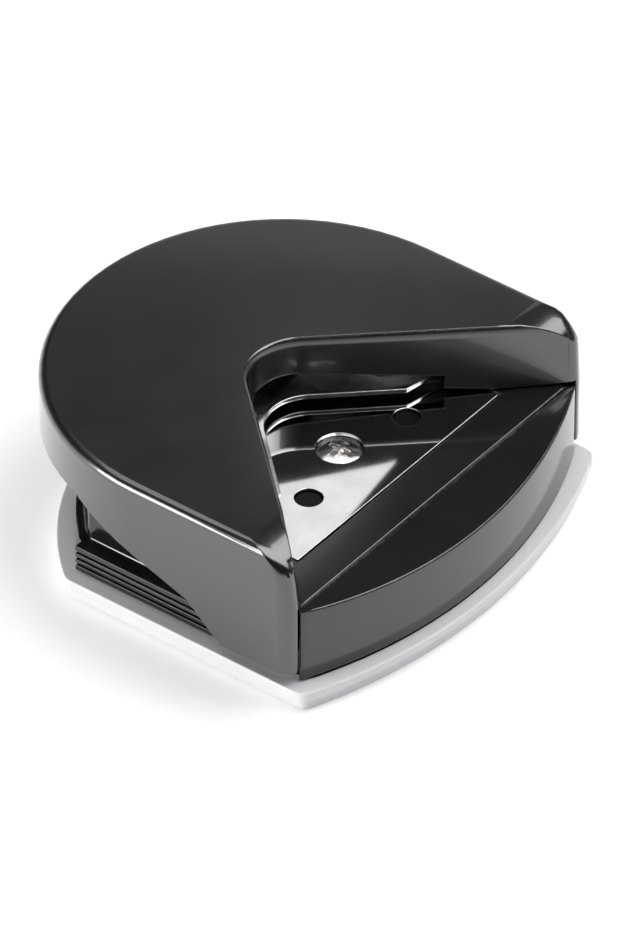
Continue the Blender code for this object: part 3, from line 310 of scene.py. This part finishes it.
def round_edges(work, passes):
    """Rounds the sharp edges, pass by pass; marks the new faces as worn."""
    worn = work.faces.layers.float.new("worn")
    done = work.edges.layers.int.new("done")
    for size, box, steps in passes:
        sharp = [edge for edge in work.edges
                 if not edge[done] and len(edge.link_faces) == 2
                 and edge.calc_face_angle() > math.radians(SHARP_ANGLE)
                 and edge.calc_length() > size * MM * SHORTEST_EDGE
                 and (box is None or inside(edge, *box))]
        made = bmesh.ops.bevel(work, geom=sharp, offset=size * MM, offset_type="OFFSET",
                               segments=steps, profile=0.5, affect="EDGES",
                               clamp_overlap=False, material=-1)
        for face in made["faces"]:
            face[worn] = 1.0
            for edge in face.edges:
                edge[done] = 1


def refined(node, material, width, slot):
    """A piece in the node's place: its welded solid with edges rounded by width in mm."""
    source = frame["nodes"][node]
    work = bmesh.new()
    work.from_mesh(source.data)
    bmesh.ops.remove_doubles(work, verts=work.verts, dist=WELD_GAP * MM)
    bmesh.ops.dissolve_limit(work, angle_limit=math.radians(FLAT_ANGLE), verts=work.verts,
                             edges=work.edges, use_dissolve_boundaries=False)
    passes = [(RIB_WIDTH, box, RIB_STEPS) for box in RIB_BOXES.get(node, [])]
    round_edges(work, passes + [(width, None, EDGE_STEPS)])
    mesh = bpy.data.meshes.new(node + "_dressed")
    work.to_mesh(mesh)
    work.free()
    mesh.materials.clear()
    mesh.materials.append(material)
    mesh.shade_smooth()
    mesh.set_sharp_from_angle(angle=math.radians(SMOOTH_ANGLE))
    piece = bpy.data.objects.new(node + "_dressed", mesh)
    bpy.context.scene.collection.objects.link(piece)
    weighted = piece.modifiers.new("normals", "WEIGHTED_NORMAL")
    weighted.keep_sharp = True
    weighted.weight = FACE_WEIGHT
    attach(piece, source["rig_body"])
    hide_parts(node)


# Node, material, edge width in mm, slot
PLAIN = [
    ("lever_shell", LEVER_BLACK, 0.16, "black_plastic"),
    ("base_frame", BASE_BLACK, 0.28, "black_plastic"),
    ("chip_tray", TRAY_WHITE, 0.22, "clear_plastic"),
    ("guide_block", INNER_BLACK, 0.2, "inner_black_plastic"),
    ("die_plate", FLOOR_STEEL, 0.08, "bright_steel"),
    ("guide_plate", SHEET_STEEL, 0.08, "bright_steel"),
    ("fence_plate", SHEET_STEEL, 0.05, "bright_steel"),
    ("plate_screw", SCREW_STEEL, 0.06, "bright_steel"),
    ("pivot_pin", BAR_STEEL, 0.15, "bright_steel"),
    ("pusher_pad", BAR_STEEL, 0.1, "spring_steel"),
    ("punch_blade", FLOOR_STEEL, 0.04, "bright_steel"),
    ("punch_rivet", BAR_STEEL, 0.1, "spring_steel"),
    ("punch_carrier", BAR_STEEL, 0.1, "spring_steel"),
    ("carrier_stem_left", BAR_STEEL, 0.12, "bright_steel"),
    ("carrier_stem_right", BAR_STEEL, 0.12, "bright_steel"),
    ("locating_pin_left", PIN_BLACK, 0.12, "blackened_steel"),
    ("locating_pin_right", PIN_BLACK, 0.12, "blackened_steel"),
    ("guide_screw_left", BAR_STEEL, 0.08, "spring_steel"),
    ("guide_screw_right", BAR_STEEL, 0.08, "spring_steel"),
]
for row in PLAIN:
    refined(*row)


# Springs

WIRE_RADIUS = 0.3 * MM
WIRE_SIDES = 4
COIL_TURNS = 8
COIL_STEPS = 24


def coil_mesh(name, low, high):
    """A coil of round wire that fills the box from low to high."""
    middle_x, middle_y = (low.x + high.x) / 2, (low.y + high.y) / 2
    radius = (high.x - low.x) / 2 - WIRE_RADIUS
    bottom, top = low.z + WIRE_RADIUS, high.z - WIRE_RADIUS
    curve = bpy.data.curves.new(name, "CURVE")
    curve.dimensions = "3D"
    curve.bevel_depth = WIRE_RADIUS
    curve.bevel_resolution = WIRE_SIDES
    curve.use_fill_caps = True
    spline = curve.splines.new("POLY")
    count = COIL_TURNS * COIL_STEPS
    spline.points.add(count)
    for index, point in enumerate(spline.points):
        turn = math.tau * index / COIL_STEPS
        level = bottom + (top - bottom) * index / count
        point.co = (middle_x + radius * math.cos(turn), middle_y + radius * math.sin(turn),
                    level, 1)
    drawing = bpy.data.objects.new(name, curve)
    bpy.context.scene.collection.objects.link(drawing)
    bpy.context.view_layer.update()
    graph = bpy.context.evaluated_depsgraph_get()
    mesh = bpy.data.meshes.new_from_object(drawing.evaluated_get(graph))
    bpy.data.objects.remove(drawing, do_unlink=True)
    return mesh


def return_spring(node):
    """A smooth coil of wire that fills the spring's box, carried by the base."""
    low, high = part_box(node)
    mesh = coil_mesh(node + "_coil", low, high)
    mesh.materials.clear()
    mesh.materials.append(WIRE_STEEL)
    mesh.shade_smooth()
    piece = bpy.data.objects.new(node + "_dressed", mesh)
    bpy.context.scene.collection.objects.link(piece)
    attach(piece, "base")
    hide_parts(node)
    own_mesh(piece)


return_spring("return_spring_left")
return_spring("return_spring_right")


# Stage, light and camera

FLOOR_HALF = 3.0
FLOOR_GAP = 0.02 * MM
FLOOR_CLOUD_SCALE = 0.004
BACKDROP_SHARE = 0.28

# Name, place, aim, size, watts
LAMPS = [
    ("overhead", (0.02, 0.20, 0.75), (0, 0, 0), (0.7, 0.6), 2.1),
    ("left_rear", (-0.42, 0.25, 0.10), (0, 0, 0.01), (0.28, 0.2), 1.9),
    ("front_right", (0.24, -0.20, 0.55), (0, 0, 0.01), (0.5, 0.5), 2.9),
    ("top_sheen", (0.30, 0.18, 0.18), (0.01, 0.01, 0.02), (0.2, 0.16), 0.05),
]

# The card whose reflection is the bright triangle on the steel floor; corners in mm
CARD_CORNERS = ((67.7, 57.7, 96.3), (84.7, 45.6, 96.2))
CARD_HEIGHT = 12.9
CARD_POWER = 0.0009
CARD_FACING = (0.619, 0.470, 0.629)
CARD_SLOPE = 1.268
CARD_CUT = 0.19

# Height of a direction, grey
SKY = ((0.02, 1.0), (0.2, 0.14), (0.4, 0.03), (0.8, 0.02), (1.0, 0.2))

CAMERA_AZIMUTH = -52.488
CAMERA_ELEVATION = 38.881
CAMERA_DISTANCE = 1365.9 * MM
CAMERA_LENS = 425.7
CAMERA_RIGHT, CAMERA_DOWN = 1.5, 1.32


def stage_floor():
    """White paper: its own colour and shadow, and part of its white for eye, gloss and glass."""
    mesh = bpy.data.meshes.new("floor")
    size = FLOOR_HALF
    mesh.from_pydata([(-size, -size, 0), (size, -size, 0), (size, size, 0), (-size, size, 0)],
                     [], [(0, 1, 2, 3)])
    material, tree, shader = fresh("floor_paper", (0.9, 0.9, 0.9), 0.6)
    shader.inputs["Specular IOR Level"].default_value = 0.0
    cloud = noise(tree, place_coords(tree), FLOOR_CLOUD_SCALE, 2.0)
    tree.links.new(blend_colours(tree, cloud, (0.89, 0.89, 0.89), (0.91, 0.91, 0.91)),
                   shader.inputs["Base Color"])
    paths = tree.nodes.new("ShaderNodeLightPath")
    seen = combine(tree, paths.outputs["Is Camera Ray"], paths.outputs["Is Glossy Ray"],
                   "MAXIMUM")
    seen = combine(tree, seen, paths.outputs["Is Transmission Ray"], "MAXIMUM")
    tree.links.new(combine(tree, seen, BACKDROP_SHARE, "MULTIPLY"),
                   shader.inputs["Emission Strength"])
    shader.inputs["Emission Color"].default_value = (1, 1, 1, 1)
    mesh.materials.append(material)
    floor = bpy.data.objects.new("floor", mesh)
    floor.location.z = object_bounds()[0].z - FLOOR_GAP
    bpy.context.scene.collection.objects.link(floor)


def lamp(name, place, turn, size, power):
    """An area lamp that the camera doesn't see."""
    light = bpy.data.lights.new(name, "AREA")
    light.shape = "RECTANGLE"
    light.size, light.size_y = size
    light.energy = power
    lamp_object = bpy.data.objects.new(name, light)
    lamp_object.location = place
    lamp_object.rotation_mode = "QUATERNION"
    lamp_object.rotation_quaternion = turn
    lamp_object.visible_camera = False
    bpy.context.scene.collection.objects.link(lamp_object)
    return light


def softbox(name, place, aim, size, power):
    """A lamp at a place, turned to what it lights."""
    lamp(name, place, (Vector(place) - Vector(aim)).to_track_quat("Z", "Y"), size, power)


def steel_card():
    """A small three-cornered light facing the die plate; its lower edge joins two points."""
    first, second = (Vector(corner) * MM for corner in CARD_CORNERS)
    across = (second - first).normalized()
    facing = Vector(CARD_FACING).normalized()
    facing = (facing - across * facing.dot(across)).normalized()
    down = facing.cross(across)
    turn = Matrix((across, down, facing)).transposed().to_quaternion()
    middle = (first + second) / 2 - down * CARD_HEIGHT * MM / 2
    light = lamp("steel_card", middle, turn, ((second - first).length, CARD_HEIGHT * MM),
                 CARD_POWER)
    light.use_nodes = True
    tree = light.node_tree
    where = tree.nodes.new("ShaderNodeNewGeometry")
    split = tree.nodes.new("ShaderNodeSeparateXYZ")
    tree.links.new(where.outputs["Parametric"], split.inputs["Vector"])
    slope = combine(tree, split.outputs["X"], CARD_SLOPE, "MULTIPLY")
    cut = combine(tree, combine(tree, slope, split.outputs["Y"], "SUBTRACT"), CARD_CUT,
                  "LESS_THAN")
    tree.links.new(cut, tree.nodes["Emission"].inputs["Strength"])


def surroundings():
    """A plain studio: white at the horizon, dark above it and grey overhead."""
    world = bpy.data.worlds.new("studio")
    bpy.context.scene.world = world
    world.use_nodes = True
    tree = world.node_tree
    back = tree.nodes["Background"]
    coords = tree.nodes.new("ShaderNodeTexCoord")
    split = tree.nodes.new("ShaderNodeSeparateXYZ")
    tree.links.new(coords.outputs["Generated"], split.inputs["Vector"])
    ramp = tree.nodes.new("ShaderNodeValToRGB")
    stops = ramp.color_ramp.elements
    for stop, (place, grey) in zip(stops, SKY):
        stop.position, stop.color = place, (grey, grey, grey, 1)
    for place, grey in SKY[2:]:
        stops.new(place).color = (grey, grey, grey, 1)
    tree.links.new(split.outputs["Z"], ramp.inputs["Fac"])
    tree.links.new(ramp.outputs["Color"], back.inputs["Color"])
    back.inputs["Strength"].default_value = 1.0


def camera():
    """The photograph's direction, from far off; the object fills the frame's width."""
    azimuth, elevation = math.radians(CAMERA_AZIMUTH), math.radians(CAMERA_ELEVATION)
    target = Vector((0, -1.2 * MM, 10 * MM))
    back = Vector((math.sin(azimuth) * math.cos(elevation),
                   -math.cos(azimuth) * math.cos(elevation), math.sin(elevation)))
    turn = (-back).to_track_quat("-Z", "Y")
    right, up = turn @ Vector((1, 0, 0)), turn @ Vector((0, 1, 0))
    data = bpy.data.cameras.new("camera")
    data.sensor_width = 36.0
    data.lens = CAMERA_LENS
    data.clip_start, data.clip_end = 0.05, 20.0
    view = bpy.data.objects.new("camera", data)
    view.location = (target + back * CAMERA_DISTANCE + right * CAMERA_RIGHT * MM
                     - up * CAMERA_DOWN * MM)
    view.rotation_mode = "QUATERNION"
    view.rotation_quaternion = turn
    bpy.context.scene.collection.objects.link(view)
    bpy.context.scene.camera = view


stage_floor()
surroundings()
for row in LAMPS:
    softbox(*row)
steel_card()
camera()
bpy.context.scene.view_settings.view_transform = "Standard"
